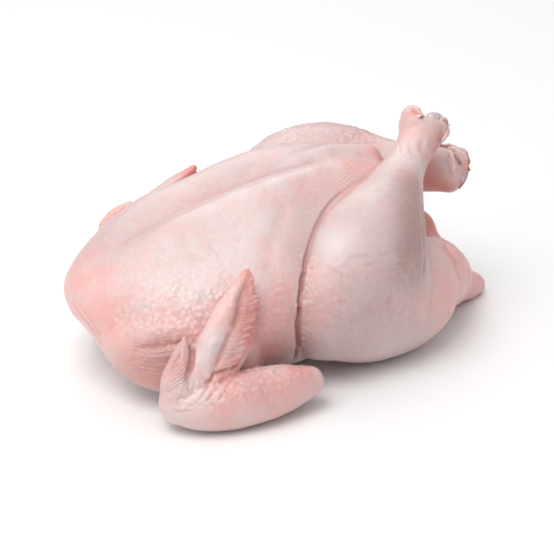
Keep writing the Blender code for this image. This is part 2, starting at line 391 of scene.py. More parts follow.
RIGHT_WING = {
    "upper": ([(-68, -62, 20, 13, 12), (-48, -75, 15, 11, 10), (-26, -82, 14, 9, 9)], (0, 0, 1)),
    "flat": (
        [
            (-21, -86, 16.6, 8.3, 8), (-27, -86.5, 16.6, 10.3, 9.6), (-37, -87.5, 16.5, 13, 11.5),
            (-50, -88.5, 16.5, 14.5, 12.5), (-66, -88, 16.5, 15, 13.5), (-80, -84, 17, 14.5, 13.5),
            (-88, -79, 17, 12.5, 12.5),
        ],
        (0, 0, 1),
    ),
    "tip": (
        [
            (-82, -83, 27, 10, 8), (-77.5, -82, 37, 9, 7.5), (-70.5, -79, 48, 7.7, 6.8),
            (-63, -76, 59, 6.3, 5.8), (-55.5, -72, 66.5, 4.8, 4.5), (-49.5, -68, 72.5, 3, 3),
            (-46.5, -66, 76, 1.5, 1.5),
        ],
        (1, 0, 0),
    ),
    "web": (
        [
            (-76, -88, 32, 9, 3.5), (-66.5, -85, 42, 11.7, 3), (-57.5, -80, 53, 11, 2.8),
            (-50.5, -75, 62, 7, 2.4), (-47.5, -70, 69.5, 3.2, 2), (-46, -67, 75, 1.3, 1.3),
        ],
        (0.8, 0, -0.6),
    ),
    "thumb": (
        [
            (-91, -80, 22, 9, 9), (-91.5, -80.5, 30, 8.5, 8), (-89, -80, 38, 7, 5.8),
            (-87, -78, 44, 5, 4.2), (-84.4, -76.5, 46.6, 3.6, 3.2),
        ],
        (1, 0, 0),
    ),
    "thumb claw": ([(-85.8, -76.8, 48.5, 1.7, 1.6), (-85.6, -76.3, 51.2, 1.0, 0.9)], (1, 0, 0)),
}
LEFT_WING = {
    "upper": ([(-70, 60, 28, 16, 14), (-44, 74, 25, 17, 15), (-12, 86, 20, 15, 14)], (0, 0, 1)),
    "flat": (
        [(-8, 88, 18, 13, 13), (-32, 88, 26, 17, 14), (-54, 80, 39, 15, 13),
            (-67, 65, 48.3, 9.5, 9)],
        (0, 0, 1),
    ),
    "tip": (
        [(-68, 65, 49, 8.5, 8.5), (-53, 72, 52, 7, 6.5), (-34, 73, 65.5, 4.5, 4.5),
            (-18, 71, 77, 2.1, 2.1)],
        (0, 0, 1),
    ),
    "web": (
        [(-64, 76, 42, 11, 3), (-48, 78, 47, 12, 3), (-30, 76, 62, 9, 2.6), (-18, 72, 74, 4.5, 2)],
        (0.4, 0, -0.9),
    ),
    "thumb": ([(-70, 66, 51.3, 8.5, 6.5), (-67, 65.5, 57, 6.3, 4.6), (-58, 66.8, 62, 3.6, 2.8)],
        (1, 0, 0)),
}


def wing(side, forms):
    return [limb(side + " " + name, stations, wide) for name, (stations, wide) in forms.items()]


# ---------------------------------------------------------------- one skin over all
# The parts lie under one skin, which runs on from each to the next. The bird's weight sinks it
# a little and flattens it where it rests.

SKIN_VOXEL = 0.7
SKIN_ROUNDS = 9
SINK = 1.5

bird = fused(
    "bird_skin",
    [trunk, right_leg, left_leg] + rollers + wing("right", RIGHT_WING) + wing("left", LEFT_WING),
    SKIN_VOXEL,
    SKIN_ROUNDS,
)


def points_of(mesh):
    flat = np.empty(len(mesh.vertices) * 3, np.float32)
    mesh.vertices.foreach_get("co", flat)
    return flat.reshape(-1, 3).astype(float)


def put_points(mesh, points):
    mesh.vertices.foreach_set("co", points.astype(np.float32).ravel())
    mesh.update()


rested = points_of(bird.data)
rested[:, 2] = np.maximum(rested[:, 2] - SINK * MM, 0)
put_points(bird.data, rested)


# ---------------------------------------------------------------- folds and creases
# Where the bird bends, its skin folds: between breast and thigh, behind the drumstick, about
# the wrist and along the web of the wing. Each fold is a line laid on the skin and pressed in.

RNG = np.random.default_rng(7)


def look_at_skin():
    """The skin's points, outward directions and search tree, as it stands now."""
    mesh = bird.data
    points = points_of(mesh)
    flat = np.empty(len(mesh.vertices) * 3, np.float32)
    mesh.vertex_normals.foreach_get("vector", flat)
    corners = np.empty(len(mesh.loops), np.int32)
    mesh.loops.foreach_get("vertex_index", corners)
    faces = corners.reshape(len(mesh.polygons), -1).tolist()
    tree = BVHTree.FromPolygons([Vector(p) for p in points], faces)
    return points, flat.reshape(-1, 3).astype(float), tree


skin_points, skin_outward, skin_tree = look_at_skin()
skin_shift = np.zeros(len(skin_points))
creased = np.zeros(len(skin_points))


def along_skin(stations, count):
    """A smooth line through the stations, laid on the skin: its points and outward directions."""
    spots, outward = [], []
    for place in smooth_rows(stations, count) * MM:
        spot, normal, _, _ = skin_tree.find_nearest(Vector(place))
        spots.append(spot)
        outward.append(normal)
    return np.array(spots), np.array(outward)


def press(line, depth, width, fade, lip=0.0):
    """Presses a line in by depth, over width, dying away over the fades at its ends. A negative
    depth raises a ridge. A lip is a swelling beside it, on its left as the line is followed."""
    spots, outward = line
    t = np.linspace(0, 1, len(spots))
    strength = np.clip(t / max(fade[0], 1e-6), 0, 1) * np.clip((1 - t) / max(fade[1], 1e-6), 0, 1)
    reach = (5 if lip else 2.6) * width * MM
    inside = (skin_points > spots.min(0) - reach) & (skin_points < spots.max(0) + reach)
    near = np.flatnonzero(inside.all(1))
    gaps = np.linalg.norm(skin_points[near][:, None] - spots[None], axis=2)
    nearest = gaps.argmin(1)
    gap = gaps[np.arange(len(near)), nearest]
    kept = (gap < reach) & ((skin_outward[near] * outward[nearest]).sum(1) > 0.1)
    near, nearest, gap = near[kept], nearest[kept], gap[kept]
    amount = -depth * np.exp(-((gap / (width * MM)) ** 2))
    creased[near] = np.maximum(creased[near], -amount * strength[nearest])
    if lip:
        along = np.gradient(spots, axis=0)
        across = np.cross(outward, along)
        across /= np.linalg.norm(across, axis=1)[:, None] + 1e-12
        beside = ((skin_points[near] - spots[nearest]) * across[nearest]).sum(1) / (width * MM)
        amount += lip * np.exp(-(((beside - 2.0) / 1.1) ** 2))
    skin_shift[near] += amount * strength[nearest]


def fold(stations, depth, width, fade=(0.2, 0.2), lip=0.0, count=40):
    """Lays a line through the stations on the skin, at count points, and presses it in."""
    press(along_skin(stations, count), depth, width, fade, lip)


def take_shift():
    """Moves the skin by what was pressed, and looks at it again."""
    global skin_points, skin_outward, skin_tree
    put_points(bird.data, skin_points + skin_outward * skin_shift[:, None] * MM)
    skin_points, skin_outward, skin_tree = look_at_skin()
    skin_shift[:] = 0


def dimple(place, depth, width):
    """A small pit at a place, or with a negative depth a small lump."""
    fold([place, np.array(place) + 0.2], depth, width, (0, 0), count=3)


# Flesh fills the hollows that the limbs leave behind the drumstick and over the rump.
fold([(46, -71, 72), (38, -77, 62), (30, -78, 52), (17, -80, 45)], -1.2, 6, (0.4, 0.4))
fold([(49, -77, 47), (49, -76, 38), (50, -75, 28)], -1.5, 4, (0.4, 0.3))
fold([(73, -44, 59), (82, -39, 54), (86, -44, 50), (88, -47, 46)], -2.2, 3.5, (0.2, 0.4))
take_shift()

# The breast: the hollow along the keel, the right lobe's ridge under it, and where the muscle
# ends and the flank begins.
fold([(-76, 1, 79), (-43, 2, 88), (-17, -5, 96), (10, -10, 103), (39, -6, 103)], 0.9, 5, count=60)
fold([(-81, -12, 78), (-66, -16, 85), (-47, -15, 89), (-22, -21, 98), (3, -22, 102),
    (41, -13, 101)], -1.1, 4, count=60)
fold([(-47, -12.5, 89), (-35, -15, 94), (-22, -15, 98), (-5, -17, 101)], -0.5, 1.6, (0.3, 0.3))
fold([(-7, -31, 95), (-20, -43, 84), (-31, -57, 72), (-31, -70, 51)], 1.0, 6, (0.3, 0.3))
take_shift()

# Between breast and right thigh: shallow beside the keel, deep down at the flank.
RIGHT_GROIN = [
    (45, -23, 96), (27, -32, 94), (14, -38, 90), (4, -45, 84), (-5, -53, 76), (-13, -62, 66),
    (-18, -69, 54), (-20, -71, 40), (-19, -69, 26), (-18, -66, 15),
]
fold(RIGHT_GROIN, 1.3, 1.0, (0.3, 0.01), count=110)
ragged = smooth_rows(RIGHT_GROIN[4:], 26) + RNG.normal(0, 0.55, (26, 3))
fold(ragged, 2.3, 0.7, (0.3, 0.01), count=90)
LEFT_GROIN = [(22, 46, 99), (6, 52, 92), (-4, 57, 82), (-10, 62, 68), (-14, 68, 52), (-15, 70, 34),
    (-16, 68, 22)]
fold(LEFT_GROIN, 2.6, 1.8, (0.3, 0.02), count=90)

# Behind each drumstick, where it leaves the rump.
fold([(60, -62, 72), (56, -68, 66), (52, -72, 60), (50, -76, 52)], 1.4, 1.4, (0.2, 0.5), count=50)
fold([(66, 46, 72), (68, 44, 62), (66, 50, 52), (62, 60, 42)], 1.8, 1.8, (0.2, 0.5), count=50)

# Pale pleats of skin down the drumstick's rear edge.
PLEATS, PLEAT_APART = 3, 1.7
for pleat in range(PLEATS):
    back = pleat * PLEAT_APART
    line = [(61 - back, -50 - back, 90), (58 - back, -59 - back, 81)]
    line += [(56 - back, -65 - back, 73), (53 - back, -71, 64)]
    fold(line, -0.8, 0.7, (0.2, 0.3))

# The rump's edge over the tail, on both sides.
fold([(97, -41, 41), (98, -43, 35), (98, -43.5, 29), (96.5, -43, 23), (93, -42, 17)], 0.9, 0.9)
fold([(69, -46, 61), (76, -40, 58), (84, -34, 54), (88, -30, 51)], -0.8, 1.0)
for side in (-1, 1):
    fold([(103, side * 20, 34), (105, side * 27, 26), (103, side * 31, 17), (102, side * 28, 8)],
        1.2, 1.4)

# The soft wrinkles where calf meets thigh, and a scatter of small ones over the thigh.
THIGH_WRINKLES = 46
CALF_WRINKLES = [
    [(3, -73, 72), (9, -74, 74), (16, -76, 75), (23, -76, 76)],
    [(20, -77, 74), (28, -76, 74), (36, -74, 74)],
    [(7, -76, 69), (13, -77, 70), (20, -78, 71), (26, -78, 73)],
    [(28, -78, 70), (36, -77, 67), (44, -75, 66)],
    [(-5, -66, 71), (-2, -71, 69), (4, -76, 66), (12, -79, 64)],
]
for wrinkle in CALF_WRINKLES:
    fold(wrinkle, 0.2, 1.0, (0.45, 0.45), lip=0.08, count=30)
for _ in range(THIGH_WRINKLES):
    x, z = RNG.uniform(-8, 44), RNG.uniform(28, 72)
    long, slope = RNG.uniform(2.5, 6), RNG.normal(0.15, 0.35)
    line = [(x, -80, z), (x + long / 2, -80, z + slope * long / 2),
        (x + long, -80, z + slope * long)]
    fold(line, RNG.choice((-0.16, 0.16)), RNG.uniform(0.9, 1.4), (0.4, 0.4), count=10)

# Small slanting wrinkles over the rump.
RUMP_WRINKLES = 26
for _ in range(RUMP_WRINKLES):
    x, y, z = RNG.uniform(62, 92), RNG.uniform(-58, -46), RNG.uniform(22, 56)
    long = RNG.uniform(3, 7)
    line = [(x, y, z), (x + long * 0.35, y - long * 0.1, z - long * 0.5),
        (x + long * 0.5, y, z - long)]
    fold(line, RNG.choice((-0.18, 0.2)), RNG.uniform(0.8, 1.3), (0.4, 0.4), count=10)

# Puckers where the groin's edge is drawn together.
PUCKERS = 21
for pucker in range(PUCKERS):
    down = 74 - pucker * 2.4 + RNG.uniform(-1, 1)
    bow = math.sin((74 - down) / 48 * 1.5)
    start = np.array((-9 - 9 * bow, -60 - 10 * bow, down))
    middle = start + (2.0, -2.0, RNG.uniform(-1, 0.6))
    line = [start, middle, start + (RNG.uniform(2.5, 6), -4, RNG.uniform(-3, 1))]
    fold(line, -RNG.uniform(0.15, 0.6), RNG.uniform(0.7, 1.2), (0.02, 0.7), count=12)

# Stretched skin over the top of the drumstick.
STRETCHES = 9
for stretch in range(STRETCHES):
    up = stretch / (STRETCHES - 1)
    line = [(18 + 34 * up, -57 + 26 * up, 95 + 9 * up), (28 + 28 * up, -60 + 24 * up, 93 + 9 * up),
        (40 + 20 * up, -62 + 24 * up, 89 + 9 * up)]
    fold(line, 0.12, 0.7, (0.35, 0.35), count=20)

# The breast's lower edge over the wing's root, and the neck skin's cut lip.
fold([(-108, -55, 38), (-99, -61, 40), (-88, -66, 42), (-74, -69, 43)], 1.5, 2.4, (0.25, 0.2))
fold([(-108, -50, 44), (-98, -57, 47), (-86, -62, 49), (-72, -66, 50)], -0.8, 3.5, (0.25, 0.2))
for wrinkle in range(10):
    level = 15 + 2.6 * wrinkle + RNG.uniform(-0.5, 0.5)
    reach = RNG.uniform(-4, 4)
    fold([(-108 + reach, -53, level), (-99, -63, level + 0.5), (-88 + reach, -68, level + 2)],
        0.35, 0.65, count=24)
fold([(-122, -13, 50), (-121, -20, 46), (-118, -26, 40), (-115, -28, 35), (-111, -32, 30)], 1.3,
    1.0, lip=0.7, count=36)
take_shift()

# The right wing: a groove beside the tip's bones, the gap beside the thumb, and the web's hem.
WING_GROOVE = [
    (-47.5, -70, 73), (-51, -73, 69.5), (-55, -77, 65), (-58.5, -81, 58), (-62, -83.5, 53),
    (-66, -85.5, 48.5), (-70, -88, 43.5), (-74, -90, 38), (-78, -91, 33),
]
WING_HEM = [
    (-45, -67, 73), (-43, -69, 66), (-44.5, -74, 60), (-48, -78, 54), (-52, -81, 48),
    (-56, -84, 42), (-61, -87.5, 36.5), (-67, -90, 32.5),
]
fold(WING_GROOVE, 1.3, 2.1, (0.2, 0.15), count=70)
fold([(-84, -77, 47), (-84, -82, 42), (-86, -85, 38), (-89, -87, 33), (-90, -89, 29)], 2.0, 1.4,
    (0.1, 0.4))
groove = smooth_rows(WING_GROOVE, 60)
hem = smooth_rows(WING_HEM, 60)
WEB_RIDGES = 20
for ridge in range(WEB_RIDGES):
    share = (ridge + 0.7 + RNG.uniform(-0.3, 0.3)) / WEB_RIDGES
    start = groove[int(min(share + RNG.uniform(0.02, 0.14), 1) * 59)]
    end = hem[int(share * 59)]
    inner = RNG.uniform(0.25, 0.7)
    middle = start * (1 - inner) * 0.5 + end * (1 + inner) * 0.5 + RNG.normal(0, 0.7, 3)
    line = along_skin([start * (1 - inner) + end * inner, middle, end], 16)
    press(line, -RNG.uniform(0.6, 1.5), RNG.uniform(0.65, 1.1), (0.5, 0.01))
    dimple(end + (0.6, 0, -0.3), -RNG.uniform(0.6, 1.9), RNG.uniform(1.0, 1.4))
    dimple(start * 0.55 + end * 0.45, -RNG.uniform(0.1, 0.6), 0.9)
fold([(-78, -91, 33), (-72, -91, 34), (-66, -90, 34), (-60, -88, 35)], 1.8, 1.2, (0.2, 0.1),
    count=24)
fold([(-80, -91, 29), (-77, -91, 32), (-75, -90, 36)], 1.4, 1.1, (0.3, 0.3), count=16)

# Fine slanting creases over the thumb, and the folds that gather at the wrist.
THUMB_CREASES = 9
for slant in range(THUMB_CREASES):
    up = slant * 2.1
    fold([(-98, -83, 25 + up), (-94.5, -84.5, 28 + up), (-90, -84, 31.5 + up)], 0.5, 0.6, count=16)
WRIST_LINES = 90
WRIST_FOLDS = [
    [(-97, -89, 22), (-92, -92, 25), (-88, -92, 29), (-86, -89, 33)],
    [(-93, -93, 19), (-87, -95, 23), (-82, -94, 28), (-79, -92, 33)],
    [(-86, -97, 21), (-80, -96, 25), (-75, -94, 29), (-70, -92, 31)],
    [(-78, -98, 22), (-73, -97, 26), (-69, -94, 29), (-65, -91, 31)],
    [(-99, -87, 17), (-94, -92, 17), (-89, -95, 19)],
]
for row in WRIST_FOLDS:
    fold(row, 0.35, 0.75, lip=0.15, count=24)
for _ in range(WRIST_LINES):
    x, z = RNG.uniform(-99, -62), RNG.uniform(20, 34)
    turn, long = RNG.choice((0.6, 2.3)) + RNG.normal(0, 0.35), RNG.uniform(1.5, 3.5)
    dx, dz = long * math.cos(turn) / 2, long * math.sin(turn) / 2
    line = [(x - dx, -97, z - dz), (x, -98, z), (x + dx, -97, z + dz)]
    fold(line, RNG.choice((-0.28, 0.15)), RNG.uniform(0.6, 0.9), (0.3, 0.3), count=8)

# Rows of large lumps along the flat of the wing, and the bone's flat edge behind them.
LUMPS = 20
for lump in range(LUMPS):
    x = -74 + 2.5 * lump + RNG.uniform(-0.6, 0.6)
    drop = 0.09 * max(0, x + 45) ** 1.3
    for row, (y, z) in enumerate(((-91, 30), (-94, 27.5), (-96, 24.5))):
        place = (x + 0.8 * row + RNG.uniform(-0.9, 0.9), y, z - drop + RNG.uniform(-0.7, 0.7))
        dimple(place, -RNG.uniform(0.25, 0.65) * (1 - 0.25 * row), 1.15)
fold([(-64, -88, 31), (-54, -87, 30), (-44, -87, 29), (-34, -88, 27)], 0.6, 1.3)
take_shift()

# The right ankle: a red fold over its left roller, a hole between the rollers, and slack skin
# down its rear. The left ankle: torn flesh round a slit in its cut end.
fold([(76, -9, 122), (78, -10, 122), (80, -13, 121)], 0.9, 0.8, lip=0.5, count=14)
fold([(80, -9, 123), (80, -12, 122), (79, -16, 121)], -0.8, 1.1, count=14)
dimple((78.6, -17.8, 121.2), 2.4, 1.2)
dimple((76, -17, 121), -0.7, 1.0)
dimple((83, -18, 120), -0.8, 1.6)
SLACK_FOLDS, TORN = 6, 14
for slack in range(SLACK_FOLDS):
    down = slack * 3.0
    fold([(92 - down * 0.5, -19 - down * 0.3, 115 - down),
        (87 - down * 0.5, -23 - down * 0.3, 111 - down)], 0.5, 0.8, count=12)
# Skin bunched up under the right ankle's knob.
BUNCHED = [
    [(60.8, -33.6, 105.7), (62.5, -24.6, 108), (66, -20, 110)],
    [(66.7, -33.9, 104.8), (65.6, -30.3, 107.2), (67, -25, 109), (69, -20, 112)],
    [(72.5, -32, 103), (72.1, -29.5, 107), (74, -26, 110), (79, -25.5, 112)],
    [(79, -28, 101), (78.9, -25.8, 107), (82, -24.5, 111)],
]
for row in BUNCHED:
    fold(row, 0.28, 1.3, (0.4, 0.4), lip=0.25, count=24)
fold([(112, 6, 93), (113, -2, 95), (113, -8, 92)], 1.8, 4.5, (0.1, 0.1), count=20)
fold([(105.6, -7.5, 92.5), (106.7, -10.3, 90), (107, -12, 87)], 2.6, 0.85, count=20)
fold([(103.5, -6, 93.5), (102.5, -10, 89.5), (102.5, -12, 85), (104, -12.8, 80)], -0.9, 1.2,
    count=24)
fold([(111, -3, 94), (112, -8, 90), (111, -12, 84), (109, -13, 79)], -1.0, 1.1, count=24)
for torn in range(TORN):
    turn = torn / TORN * 2 * math.pi
    dimple((110, -3 + 12 * math.cos(turn), 82 + 12 * math.sin(turn)), RNG.uniform(-1.1, 0.9), 1.1)
take_shift()


# ---------------------------------------------------------------- feather follicles
# Plucking leaves a raised follicle where each feather stood. They stand in tracts down the
# sides of the breast, over the thighs and wings, with smooth skin between the tracts.

SCATTER = 0.92  # how far the follicles stray from even rows, 0 to 1

# x, y, z, reach, how raised the follicles are there
TRACTS = [
    (-84, -58, 50, 26, 1.1), (-56, -66, 54, 22, 1.0), (-25, -68, 50, 18, 0.7),
    (-100, -40, 48, 18, 0.6), (-100, -55, 32, 16, 0.6), (-12, -60, 70, 9, 0.7),
    (-18, -68, 52, 10, 1.0), (30, 58, 92, 32, 1.1), (64, 36, 88, 17, 1.5), (-60, 60, 56, 30, 0.9),
    (-75, 40, 62, 22, 0.6), (-50, -92, 26, 14, 1.3), (-75, -92, 26, 12, 1.2),
    (-30, -90, 24, 10, 1.0), (-92, -88, 26, 9, 0.7), (-20, 92, 26, 26, 1.1), (-55, 76, 46, 20, 1.0),
    (36, -74, 62, 18, 0.3), (50, -66, 40, 16, 0.4), (2, -70, 66, 11, 0.4), (0, -76, 50, 14, 0.6),
    (40, 70, 50, 34, 0.6), (118, 0, 12, 16, 0.5),
]
# A crease's colour is part redness and part painted shade in the crease, both strongest at this
# depth.
DEEPEST_CREASE = 3  # mm, where a crease is at its reddest
follicle_share = np.zeros(len(skin_points))
for *place, reach, raised in TRACTS:
    far = np.linalg.norm(skin_points - np.array(place) * MM, axis=1) / (reach * MM)
    follicle_share = np.maximum(follicle_share, raised * np.exp(-(far**2)))


def store(name, values):
    """Keeps a number for each point of the skin."""
    layer = bird.data.attributes.new(name, "FLOAT", "POINT")
    layer.data.foreach_set("value", values.astype(np.float32))


store("tract", follicle_share)
store("crease", np.clip(creased / DEEPEST_CREASE, 0, 1) ** 1.5)

skin = bpy.data.materials.new("raw_skin")


def combined(tree, kind, one, two):
    """One number worked out from two, each a number or a socket."""
    return add_node(tree, "ShaderNodeMath", {0: one, 1: two}, operation=kind).outputs[0]


def follicle_tree():
    """Geometry nodes that raise the follicles and leave the skin a little uneven."""
    tree = bpy.data.node_groups.new("feather follicles", "GeometryNodeTree")
    face = tree.interface
    face.new_socket("Geometry", in_out="INPUT", socket_type="NodeSocketGeometry")
    for name in ("Spacing", "Height", "Waviness", "Wave Length", "Seed"):
        face.new_socket(name, in_out="INPUT", socket_type="NodeSocketFloat")
    face.new_socket("Skin", in_out="INPUT", socket_type="NodeSocketMaterial")
    face.new_socket("Geometry", in_out="OUTPUT", socket_type="NodeSocketGeometry")
    given = add_node(tree, "NodeGroupInput").outputs
    place = add_node(tree, "GeometryNodeInputPosition").outputs[0]
    seeded = {0: place, 1: given["Seed"]}
    seeded = add_node(tree, "ShaderNodeVectorMath", seeded, operation="ADD").outputs[0]

    cells = add_node(tree, "ShaderNodeTexVoronoi", {"Vector": seeded, "Randomness": SCATTER})
    per_metre = combined(tree, "DIVIDE", 1.0, given["Spacing"])
    tree.links.new(per_metre, cells.inputs["Scale"])
    distance = cells.outputs["Distance"]
    dome = ranged(tree, distance, 0.8, 0.05, 0, 1, interpolation_type="SMOOTHSTEP")
    share = ranged(tree, cells.outputs["Color"], 0, 1, 0, 1.7)
    here = add_node(tree, "GeometryNodeInputNamedAttribute", {"Name": "tract"}, data_type="FLOAT")
    raised = combined(tree, "MULTIPLY", combined(tree, "MULTIPLY", dome, share), here.outputs[0])
    raised = combined(tree, "MULTIPLY", raised, given["Height"])

    waves = add_node(tree, "ShaderNodeTexNoise", {"Detail": 2.0, "Vector": seeded})
    per_metre = combined(tree, "DIVIDE", 1.0, given["Wave Length"])
    tree.links.new(per_metre, waves.inputs["Scale"])
    wavy = combined(tree, "SUBTRACT", waves.outputs[0], 0.5)
    wavy = combined(tree, "MULTIPLY", wavy, given["Waviness"])

    outward = add_node(tree, "GeometryNodeInputNormal").outputs[0]
    push = {0: outward, "Scale": combined(tree, "ADD", raised, wavy)}
    push = add_node(tree, "ShaderNodeVectorMath", push, operation="SCALE").outputs[0]
    moved = {"Geometry": given["Geometry"], "Offset": push}
    moved = add_node(tree, "GeometryNodeSetPosition", moved).outputs[0]
    real = add_node(tree, "GeometryNodeRealizeInstances", {0: moved}).outputs[0]
    covered = {"Geometry": real, "Material": given["Skin"]}
    covered = add_node(tree, "GeometryNodeSetMaterial", covered).outputs[0]
    add_node(tree, "NodeGroupOutput", {0: covered})
    return tree


FOLLICLES = {
    "Spacing": 3.1 * MM,
    "Height": 0.5 * MM,
    "Waviness": 1.1 * MM,
    "Wave Length": 11 * MM,
    "Seed": 0.37,
    "Skin": skin,
}
plucked = bird.modifiers.new("feather follicles", "NODES")
plucked.node_group = follicle_tree()
for socket in plucked.node_group.interface.items_tree:
    if socket.in_out == "INPUT" and socket.name in FOLLICLES:
        plucked[socket.identifier] = FOLLICLES[socket.name]
settle(bird)
rested = points_of(bird.data)
rested[:, 2] = np.maximum(rested[:, 2], 0)
put_points(bird.data, rested)


# ---------------------------------------------------------------- hollows and crests
# Blood and damp gather in the hollows of the skin, large and small, and stretched skin over the
# crests is paler; the colour laid from these also paints shade into the hollows and painted
# highlights onto the crests. How far each point lies below or above the skin around it is kept
# for that.

# For each: how many rounds of smoothing level the skin around it, and its depth in mm
HOLLOWS = {"fine_hollow": (5, 0.11), "broad_hollow": (70, 0.8)}


def around(mesh, points, rounds):
    """The points after rounds of moving each to the middle of its neighbours."""
    flat = np.empty(len(mesh.edges) * 2, np.int32)
    mesh.edges.foreach_get("vertices", flat)
    one, two = flat.reshape(-1, 2).T
    count = len(points)
    neighbours = np.bincount(one, minlength=count) + np.bincount(two, minlength=count)
    for _ in range(rounds):
        summed = [
            np.bincount(one, along[two], count) + np.bincount(two, along[one], count)
            for along in points.T
        ]
        points = np.column_stack([total / neighbours for total in summed])
    return points


skin_points, skin_outward, skin_tree = look_at_skin()
for name, (rounds, depth) in HOLLOWS.items():
    levelled = around(bird.data, skin_points, rounds)
    sunk = ((levelled - skin_points) * skin_outward).sum(1) / (depth * MM)
    store(name, np.clip(sunk, -1, 1))


# ---------------------------------------------------------------- the skin's colour
# Thin moist skin: pale over fat and stretched flesh, pinker in hollows and where the feathers
# stood thick, red at the wing tips, ankles and vent, and faintly blue over the leg's muscle.
# Shade is painted into it as well, darker in hollows, creases and recesses and on sides turned
# from the light, and highlights are painted onto ridges and crests.

MOST_TRIANGLES = 190000

fewer = bird.modifiers.new("fewer faces", "DECIMATE")
fewer.ratio = MOST_TRIANGLES / (2 * len(bird.data.polygons))
settle(bird)


def shade_smoothly(thing):
    for face in thing.data.polygons:
        face.use_smooth = True


shade_smoothly(bird)

